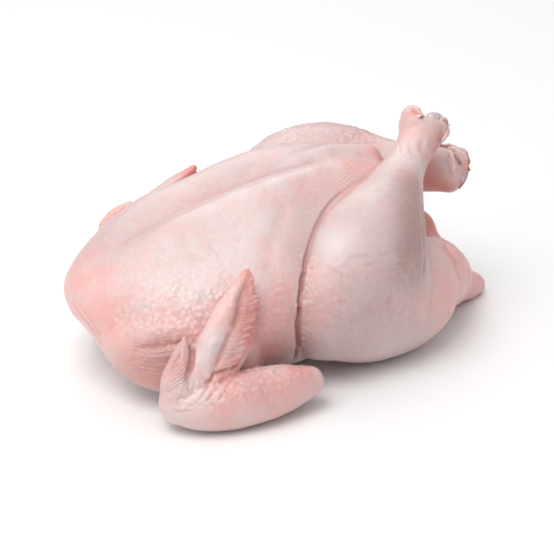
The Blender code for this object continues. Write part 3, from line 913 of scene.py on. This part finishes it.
# Each row is a soft patch of the tone: x, y, z, reach, strength.
TONES = {
    "flush": [
        (-17, -52, 78, 12, 0.45), (-3, -69.5, 68, 10, 0.35), (-8, -75, 56, 11, 0.4),
        (-12, -76, 44, 10, 0.4), (-117, -5, 58, 20, 0.8), (-115, -24, 50, 18, 0.75),
        (-114, -42, 38, 16, 0.7), (-98, -62, 32, 20, 0.9), (-83, -63, 46, 13, 0.6),
        (-60, -72, 46, 14, 0.6), (-40, -72, 46, 13, 0.7), (-28, -70, 38, 16, 0.85),
        (-24, -66, 60, 13, 0.6), (-26, -52, 74, 10, 0.5), (-5, -58, 84, 9, 0.3),
        (7, -29, 98, 9, 0.6), (20, -27, 99, 10, 0.65), (33, -21, 100, 10, 0.65),
        (46, -17, 99, 9, 0.6), (-8, -33, 94, 9, 0.35), (58, -4, 97, 9, 0.9),
        (-36, -94, 21, 20, 1.0), (-66, -96, 18, 18, 0.85), (-58, -92, 24, 9, 0.35),
        (-112, -20, 58, 14, 0.5), (56, -46, 100, 8, 0.5), (52, -54, 95, 8, 0.45),
        (46, -66, 85, 9, 0.3), (17, -79, 67, 10, 0.15), (-92, -84, 34, 13, 0.9),
        (-56, -78, 54, 15, 0.8), (50, -73, 41, 12, 0.55), (66, -60, 38, 18, 0.9),
        (84, -38, 46, 16, 1.0), (95, -30, 25, 16, 0.7), (116, -10, 14, 18, 1.0),
        (80, -14, 114, 14, 0.55), (102, -6, 80, 14, 0.6), (20, 58, 92, 30, 0.1),
        (66, 24, 92, 12, 0.5), (-48, -70, 72, 9, 1.0), (80, -58, 30, 14, 0.7),
        (92, -46, 38, 10, 0.6), (-100, 55, 40, 24, 0.7), (-60, 70, 50, 26, 0.7),
        (-20, 90, 24, 30, 0.7),
    ],
    "red": [
        (-46.5, -67, 75, 7, 0.8), (-50, -73, 68, 5, 0.5), (-47, -76, 57, 7, 0.75),
        (-52, -83, 46, 7, 0.8), (-55, -80, 56, 7, 0.5), (-62, -89, 36, 6, 0.7),
        (-72, -91, 33, 5, 0.5), (-24, -91, 23, 6, 0.5), (-30, -90, 27, 4, 0.3),
        (-84, -76, 51, 4, 0.8), (-98, -56, 22, 14, 0.4), (100, 8, 46, 15, 1.0),
        (106, 8, 36, 12, 1.0), (120, -4, 12, 12, 0.6), (92, -8, 76, 8, 0.8), (88, -6, 84, 6, 0.8),
        (96, -4, 112, 7, 0.5), (76, -13, 122.5, 3, 1.0), (77.5, -15.5, 121.5, 1.6, 0.6),
        (99, -10, 72, 5, 0.5), (87, -22.5, 110, 6, 0.5), (84, -24.5, 103.5, 6, 0.55),
        (78, -29, 99, 7, 0.4), (113, -9, 84, 6, 0.8), (111, -12, 76, 6, 0.7),
        (105, -12, 74, 6, 0.35), (-90, -82, 40, 8, 0.25), (-68, 62, 58, 8, 0.3),
        (62, -2, 94, 6, 0.45), (62, -8, 93, 5, 0.4), (-18, 71, 76, 12, 1.0),
        (-112, 20, 62, 12, 0.4),
    ],
    # Mauve over the leg's dark meat, and painted shade as well: on the thigh's lower and far side
    # and along the hollow beside the keel.
    "mauve_and_shade": [
        (-90, -2, 74, 26, 0.3), (56, 32, 97, 20, 0.6), (46, -58, 93, 12, 0.6), (-38, 6, 90, 9, 0.4),
        (-18, 5, 96.6, 10, 0.55), (-2, -1, 100, 9, 0.6), (16, -6, 103.5, 8, 0.55),
        (33, -4, 104.5, 7, 0.4), (3, -67, 83, 18, 0.6), (20, -60, 95, 18, 0.6),
        (45, -45, 98, 16, 0.5), (14, -80, 52, 20, 0.5), (6, -80, 32, 26, 0.8),
        (36, -74, 24, 24, 0.6), (44, -72, 74, 15, 1.0), (40, -74, 62, 16, 0.9),
        (56, -54, 84, 10, 0.6), (-76, -86, 46, 6, 0.5), (-12, -50, 80, 12, 0.5),
        (-2, -35, 92, 12, 0.4), (-60, -89, 29, 8, 0.5), (108.5, -13, 80, 4, 0.9),
        (40, 66, 60, 50, 0.5),
    ],
    # Pale fat under the skin, and painted highlights too: along the breast's ridge, on the calf, on
    # the wing tip's bone and the wrist, and on the pleats down the drumstick.
    "fat_and_highlight": [
        (30, -77, 71, 5, 0.4), (42, -76, 63, 6, 0.5), (-47, -16, 89, 6, 0.6),
        (-30, -19, 95, 6, 0.7), (-12, -22, 100, 6, 0.8), (8, -21, 102.5, 6, 0.8),
        (26, -17, 102.5, 6, 0.7), (2, -64, 80, 11, 1.0), (33, -47, 97, 14, 0.6),
        (60, -27, 107, 10, 0.5), (-81, -86, 42, 6, 1.0), (-72, -84, 52, 6, 0.5),
        (-89, -88, 30, 8, 0.7), (-42, -88.5, 30, 6, 0.6), (-88, -90, 28, 6, 0.5),
        (-23, -92, 22, 6, 0.45), (35, 60, 94, 9, 0.5), (-90, -44, 60, 10, 0.3),
        (-90, -91, 24, 8, 0.9), (-26, -88, 24, 4, 0.5), (-62, -99, 12, 8, 0.5),
        (-78, -55, 58, 15, 0.6), (-50, -52, 71, 20, 0.7), (-22, -45, 82, 14, 0.5),
        (-15, -79, 12, 12, 0.4), (30, -75, 14, 14, 0.5), (99.5, -9.5, 88, 7, 1.0),
        (100.5, -12, 79, 5, 0.6), (60, -52, 88, 3.5, 0.7), (57.5, -60, 80, 3.5, 0.7),
        (55, -66, 72, 3.5, 0.7), (53, -70, 65, 3.5, 0.6), (78, -40, 58, 5, 0.5),
        (10, 60, 90, 18, 0.7), (88, -14, 110, 7, 0.4), (20, 40, 98, 16, 0.5),
    ],
    # Painted shade: darker patches where shade falls, under the breast's overhang and the wing, on
    # the drumstick's far side, low on the flank and round the ankles.
    "painted_shade": [
        (-88, 0, 75, 26, 0.16), (-66, 2, 83, 16, 0.1), (-17, -51, 79, 11, 0.2),
        (-14, -60, 70, 9, 0.22), (-5, -44, 85, 10, 0.16), (48, -60, 91, 11, 0.6),
        (51, -50, 98, 9, 0.4), (51, -64, 84, 9, 0.5), (57, -50, 94, 8, 0.6),
        (-14, -76, 38, 9, 0.25), (-24, 1, 95, 7, 0.12), (-8, -5, 99.5, 7, 0.16),
        (10, -9, 103, 6, 0.14), (-97, -63, 30, 15, 0.9), (-109, -44, 18, 12, 0.5),
        (-88, -71, 30, 13, 0.8), (-88, -79, 45, 8, 0.45), (-50, -79, 55, 9, 0.5),
        (-56, -79, 60, 5, 0.35), (-54, -99, 23, 9, 0.22), (-87, -79, 46, 4, 0.35),
        (-98, -60, 37, 7, 0.15), (57, -46, 100, 7, 0.5), (53, -53, 96, 7, 0.45),
        (49, -60, 90, 7, 0.3), (45, -68, 83, 8, 0.5), (-66, -86, 42, 5, 0.35),
        (-30, -70, 26, 16, 0.6), (-19, -69, 46, 10, 0.4), (45, -74, 70, 12, 0.8),
        (42, -76, 62, 11, 0.7), (52, -66, 76, 8, 0.6), (90, -4, 79, 7, 0.7),
        (108, -13, 84.5, 3.5, 0.5), (89, -20, 107, 5, 0.5), (84, -24, 102, 5, 0.5),
        (77, -30, 97, 7, 0.45), (62, -4, 90, 5, 0.3), (92, -18, 106, 5, 0.5),
    ],
    # Painted shade: near black where shade fills the slit and the hole in the ankles and the
    # groin's bottom notch.
    "recess_shade": [
        (106.5, -10.6, 89.8, 1.3, 1.0), (107, -12, 87.5, 1.3, 1.0), (78.6, -17.6, 121, 1.4, 1.0),
        (-18, -66, 14, 4, 0.6),
    ],
}
# Fine parallel creases: which way they follow each other, how far apart in mm, and where.
GRAINS = {
    "breast_grain": ((-0.46, 0.77, 0.44), 1.6,
        [(36, -19, 101, 14, 0.55), (14, -28, 99, 14, 0.4), (-12, -24, 98, 12, 0.3),
        (-40, -14, 91, 12, 0.2)]),
    "neck_grain": ((0.84, -0.46, 0.27), 2.0,
        [(-101, -34, 60, 17, 0.45), (-110, -20, 62, 16, 0.3), (-100, -10, 70, 14, 0.2)]),
    "calf_grain": ((0.1, 0.86, 0.5), 1.6,
        [(40, -52, 98, 17, 0.4), (20, -60, 92, 14, 0.25), (58, -36, 104, 12, 0.35)]),
    "web_grain": ((0.07, 0.3, 0.89), 1.7,
        [(-54, -81, 50, 10, 0.8), (-46, -76, 62, 8, 0.8), (-64, -87, 40, 8, 0.8)]),
    "thumb_grain": ((-0.46, 0.6, 0.66), 1.5, [(-93, -84, 36, 9, 1.0)]),
    "shoulder_grain": ((-0.15, -0.25, 0.95), 2.1,
        [(-100, -62, 26, 14, 1.0), (-86, -68, 34, 12, 0.8), (-110, -50, 22, 12, 0.6)]),
}
spots = points_of(bird.data)


def lay_patches(name, patches):
    """Stores soft patches of skin as a number on each point, 0 to 1."""
    share = np.zeros(len(spots))
    for *place, reach, strength in patches:
        far = np.linalg.norm(spots - np.array(place) * MM, axis=1) / (reach * MM)
        share = 1 - (1 - share) * (1 - strength * np.exp(-(far**2)))
    store(name, share)


for name, patches in TONES.items():
    lay_patches(name, patches)
for name, (_, _, patches) in GRAINS.items():
    lay_patches(name, patches)


def colour(red, green, blue):
    return (red, green, blue, 1)


def mix_colours(tree, share, first, second):
    """A node that goes from the first colour to the second by share."""
    inputs = {0: share, 6: first, 7: second}
    return add_node(tree, "ShaderNodeMix", inputs, data_type="RGBA").outputs[2]


def noise(tree, length, detail, where):
    """Soft noise, with blotches of this length in mm, between 0 and 1."""
    scale = 1 / (length * MM)
    inputs = {"Scale": scale, "Detail": detail, "Vector": where}
    return add_node(tree, "ShaderNodeTexNoise", inputs).outputs[0]


def blood_tree():
    """Shared by all the flesh: how blood and fat mottle it, as masks."""
    tree = bpy.data.node_groups.new("blood mottling", "ShaderNodeTree")
    for name in ("Blotches", "Speckles", "Pores"):
        tree.interface.new_socket(name, in_out="OUTPUT", socket_type="NodeSocketFloat")
    where = add_node(tree, "ShaderNodeTexCoord").outputs["Object"]
    masks = {
        "Blotches": ranged(tree, noise(tree, 13, 3.0, where), 0.35, 0.65, 0, 1),
        "Speckles": ranged(tree, noise(tree, 3.2, 2.0, where), 0.35, 0.65, 0, 1),
        "Pores": noise(tree, 1.1, 3.0, where),
    }
    add_node(tree, "NodeGroupOutput", masks)
    return tree


def grain_tree():
    """Fine parallel creases, as a height between 0 and 1."""
    tree = bpy.data.node_groups.new("fine creases", "ShaderNodeTree")
    tree.interface.new_socket("Across", in_out="INPUT", socket_type="NodeSocketVector")
    tree.interface.new_socket("Spacing", in_out="INPUT", socket_type="NodeSocketFloat")
    tree.interface.new_socket("Height", in_out="OUTPUT", socket_type="NodeSocketFloat")
    given = add_node(tree, "NodeGroupInput").outputs
    where = add_node(tree, "ShaderNodeTexCoord").outputs["Object"]
    reach = {0: where, 1: given["Across"]}
    reach = add_node(tree, "ShaderNodeVectorMath", reach, operation="DOT_PRODUCT")
    count = combined(tree, "DIVIDE", reach.outputs["Value"], given["Spacing"])
    waver = ranged(tree, noise(tree, 9, 2.0, where), 0, 1, -1.4, 1.4)
    turn = combined(tree, "MULTIPLY", combined(tree, "ADD", count, waver), 2 * math.pi)
    wave = ranged(tree, combined(tree, "SINE", turn, 0.0), -1, 1, 0, 1)
    patchy = ranged(tree, noise(tree, 4, 1.0, where), 0.35, 0.6, 0.25, 1)
    add_node(tree, "NodeGroupOutput", {0: combined(tree, "MULTIPLY", wave, patchy)})
    return tree


blood = blood_tree()
fine_creases = grain_tree()

PALE = colour(0.69, 0.545, 0.525)
PINK = colour(0.78, 0.41, 0.385)
MAUVE = colour(0.52, 0.37, 0.375)
# Pale fat, and the colour of painted highlights.
FAT_AND_HIGHLIGHT = colour(0.74, 0.665, 0.65)
# The colour of painted shade.
PAINTED_SHADE = colour(0.40, 0.235, 0.215)
RED = colour(0.72, 0.26, 0.23)
# Redder skin in the creases, and darker there as painted shade.
CREASE_RED_AND_SHADE = colour(0.40, 0.18, 0.15)
# Redder skin in the hollows, and darker there as painted shade.
HOLLOW_BLOOD_AND_SHADE = colour(0.48, 0.20, 0.175)
# The colour of painted shade inside the slit, the hole and the notch.
RECESS_SHADE = colour(0.13, 0.05, 0.04)

# What is laid over the skin's own pink, one over another: which tone, how much, what colour
# Among these, shade is painted into the hollows, creases, recesses and shaded sides, and highlights
# onto ridges and crests.
LAYERS = [
    ("fat_and_highlight", 0.7, FAT_AND_HIGHLIGHT), ("painted_shade", 0.85, PAINTED_SHADE), ("fine_hollow", -0.18, FAT_AND_HIGHLIGHT),
    ("fine_hollow", 0.3, HOLLOW_BLOOD_AND_SHADE), ("broad_hollow", 0.25, HOLLOW_BLOOD_AND_SHADE), ("red", 1.0, RED),
    ("crease", 0.55, CREASE_RED_AND_SHADE), ("recess_shade", 1.0, RECESS_SHADE),
]
PORE_RELIEF, FOLLICLE_RELIEF, CREASE_RELIEF = 0.5, 0.25, 0.8  # shares of the relief's height
RELIEF_HEIGHT = 0.55 * MM
SKIN_FINISH = {
    "Roughness": 0.40,
    "Subsurface Weight": 0.15,
    "Subsurface Radius": (1.0, 0.4, 0.25),
    "Subsurface Scale": 1.5 * MM,
    "Coat Weight": 0.12,
    "Coat Roughness": 0.3,
}

skin.use_nodes = True
tree = skin.node_tree
shader = tree.nodes["Principled BSDF"]
mottling = add_node(tree, "ShaderNodeGroup", node_tree=blood).outputs


def tone(name):
    return add_node(tree, "ShaderNodeAttribute", attribute_name=name).outputs["Fac"]


def plus(one, two):
    return combined(tree, "ADD", one, two)


def times(one, two):
    return combined(tree, "MULTIPLY", one, two)


# The same follicles as the raised ones, for their colour and their sharper relief.
where = add_node(tree, "ShaderNodeTexCoord").outputs["Object"]
shifted = {0: where, 1: (FOLLICLES["Seed"],) * 3}
shifted = add_node(tree, "ShaderNodeVectorMath", shifted, operation="ADD").outputs[0]
cells = {"Vector": shifted, "Scale": 1 / FOLLICLES["Spacing"], "Randomness": SCATTER}
cells = add_node(tree, "ShaderNodeTexVoronoi", cells)
dome = ranged(tree, cells.outputs["Distance"], 0.6, 0.05, 0, 1)
follicle = times(dome, tone("tract"))
between = times(combined(tree, "SUBTRACT", 1.0, dome), tone("tract"))

relief = plus(times(mottling["Pores"], PORE_RELIEF), times(follicle, FOLLICLE_RELIEF))
for name, (across, spacing, _) in GRAINS.items():
    lines = {"Across": across, "Spacing": spacing * MM}
    lines = add_node(tree, "ShaderNodeGroup", lines, node_tree=fine_creases)
    relief = plus(relief, times(times(lines.outputs["Height"], tone(name)), CREASE_RELIEF))

blotches = ranged(tree, mottling["Blotches"], 0, 1, -0.22, 0.32)
speckles = ranged(tree, mottling["Speckles"], 0, 1, -0.1, 0.1)
blush = plus(plus(tone("flush"), plus(blotches, speckles)), times(between, 0.3))
look = mix_colours(tree, blush, PALE, PINK)
# The mauve layer, which also paints shade on the thigh and beside the keel.
look = mix_colours(tree, combined(tree, "SUBTRACT", tone("mauve_and_shade"), speckles), look, MAUVE)
for name, share, over in LAYERS:
    look = mix_colours(tree, times(tone(name), share), look, over)
tree.links.new(look, shader.inputs["Base Color"])
for name, value in SKIN_FINISH.items():
    shader.inputs[name].default_value = value
bump = {"Distance": RELIEF_HEIGHT, "Strength": 0.8, "Height": relief}
bump = add_node(tree, "ShaderNodeBump", bump)
tree.links.new(bump.outputs[0], shader.inputs["Normal"])
tree.links.new(bump.outputs[0], shader.inputs["Coat Normal"])
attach(bird, "root")
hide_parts("chicken")


# ---------------------------------------------------------------- the cut ankles
# What shows in the two cut ankles: bluish caps of cartilage, pale stumps of tendon, and ragged
# skin and flesh round the edge. Each bit is a small closed shape rooted in the ankle.

BIT_SIDES = 14
BIT_RINGS = 12
WET_FINISH = {
    "Subsurface Weight": 0.1,
    "Subsurface Scale": 1.0 * MM,
    "Coat Weight": 0.3,
    "Coat Roughness": 0.2,
}

# x, y, z, half width, half depth, along each bit
CARTILAGE = [
    [(88.8, -11.2, 116, 3.7, 3.7), (89.8, -12.8, 116.2, 3.7, 3.7)],
    [(111, -4.5, 91.3, 1.6, 1.4), (111.8, -7.3, 89, 2.0, 1.5), (111.3, -9.3, 86.5, 1.6, 1.3)],
    [(109.3, -11.4, 81.5, 2.6, 2.2), (107.5, -12.3, 78.3, 2.8, 2.2)],
]
TENDONS = [
    [(76.8, -16.2, 121, 1.0, 0.8), (77.6, -18.0, 121.9, 0.8, 0.7)],
    [(80.5, -16.2, 120.3, 1.3, 1.1), (81.5, -17.8, 121, 1.1, 0.9)],
    [(84, -15, 118, 2.1, 1.7), (85.5, -16.2, 119.2, 1.7, 1.3)],
    [(105.3, -3, 92.6, 1.8, 1.4), (108.3, -5.5, 92.6, 2.0, 1.5), (109.3, -7.5, 91.2, 1.4, 1.2)],
    [(103.5, -6, 92.8, 1.5, 1.0), (102.8, -9.2, 90, 2.2, 1.1), (102.7, -11, 87, 2.1, 1.0),
        (103, -12.2, 84, 1.4, 0.8), (103.2, -13, 81, 0.8, 0.5)],
]
CLOTS = [
    [(90, -15.6, 116.6, 1.7, 1.2), (91.6, -15.9, 115.4, 1.4, 1.1)],
    [(79.4, -17.4, 120.4, 0.9, 0.7), (80, -18.2, 119.8, 0.7, 0.6)],
]
# Flaps of skin along the cut edge, each with the way that it spreads.
FRILLS = [
    (
        (0.85, -0.45, 0.2),
        [
            (93.4, -17.6, 118.4, 0.3, 0.25), (93.2, -18, 116.4, 1.8, 0.5),
            (93.2, -19.2, 113.2, 1.4, 0.5), (92.8, -20.3, 111, 2.2, 0.55),
            (91, -21.6, 108.6, 1.5, 0.5), (88.8, -22.4, 106.6, 0.8, 0.4),
        ],
    ),
    (
        (0.9, -0.35, 0.1),
        [
            (111, -6.5, 90.5, 0.7, 0.4), (112.6, -8.6, 86.5, 1.3, 0.6), (112.8, -9.8, 83, 0.8, 0.5),
            (112.4, -10.2, 79.5, 1.4, 0.6), (110.4, -11.2, 75.5, 1.0, 0.5),
            (107.4, -11.8, 72.2, 0.6, 0.4),
        ],
    ),
]
# The lines that ragged bits stand along, and which way they point: count, longest, thickest
RIMS = [
    ([(92, -17.6, 116.5), (93.5, -19, 113), (92, -21.4, 109.5)], (0.8, -0.4, 0.5), 6, 1.9, 0.9),
    ([(98, 5.5, 94.2), (102, 1.5, 95), (106, -3, 94.2)], (0.1, -0.4, 0.95), 14, 2.3, 1.3),
    ([(112.4, -6.5, 90), (113.4, -9, 85), (113, -10.5, 79), (109.5, -12, 74)], (0.9, -0.45, 0.1),
        18, 1.2, 1.3),
    ([(76, -12.5, 122.6), (77, -14.5, 122.3), (78, -16, 121.6)], (0.1, -0.5, 0.8), 4, 0.3, 0.8),
]


def bit(stations, wide=(0.5, -0.4, 0.75)):
    return limb("bit", stations, wide, 1.0, BIT_SIDES, BIT_RINGS, 4)


def ragged_bits():
    """Tapered scraps of skin and flesh, leaning about as they like along each rim."""
    bits = []
    for rim, point, count, longest, thickest in RIMS:
        line = along_skin(rim, count)[0] / MM
        for root in line:
            lean = np.array(point) + RNG.normal(0, 0.25, 3)
            long = longest * RNG.uniform(0.2, 1.0)
            thick = thickest * RNG.uniform(0.6, 1.0)
            start, end = root - lean * 1.5, root + lean * long
            bend = (start + end) / 2 + RNG.normal(0, 0.4, 3)
            bits.append(bit([(*start, thick, thick * 0.4), (*bend, thick, thick * 0.4),
                (*end, thick * 0.5, thick * 0.25)]))
    return bits


def flesh_finish(name, main, other, roughness):
    """Wet flesh between two colours, mottled as the skin is."""
    made = bpy.data.materials.new(name)
    made.use_nodes = True
    tree = made.node_tree
    mottled = add_node(tree, "ShaderNodeGroup", node_tree=blood).outputs["Speckles"]
    mixed = mix_colours(tree, combined(tree, "MULTIPLY", mottled, 0.9), main, other)
    wet = tree.nodes["Principled BSDF"]
    tree.links.new(mixed, wet.inputs["Base Color"])
    wet.inputs["Roughness"].default_value = roughness
    for name, value in WET_FINISH.items():
        wet.inputs[name].default_value = value
    return made


ANKLE_BITS = {
    "ankle_cartilage": ([bit(row) for row in CARTILAGE], colour(0.42, 0.34, 0.40),
        colour(0.62, 0.52, 0.54), 0.3),
    "ankle_tendons": ([bit(row) for row in TENDONS], colour(0.88, 0.71, 0.67),
        colour(0.84, 0.54, 0.50), 0.35),
    "ankle_clots": ([bit(row) for row in CLOTS], colour(0.16, 0.08, 0.10),
        colour(0.28, 0.13, 0.14), 0.3),
    "ankle_frills": ([bit(row, wide) for wide, row in FRILLS], colour(0.64, 0.44, 0.40),
        colour(0.50, 0.27, 0.24), 0.35),
    "ankle_scraps": (ragged_bits(), colour(0.64, 0.32, 0.28), colour(0.40, 0.13, 0.11), 0.35),
}
for name, (parts, main, other, roughness) in ANKLE_BITS.items():
    piece = joined(name, parts)
    shade_smoothly(piece)
    piece.data.materials.append(flesh_finish(name + "_finish", main, other, roughness))
    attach(piece, "root")
    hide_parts("chicken")
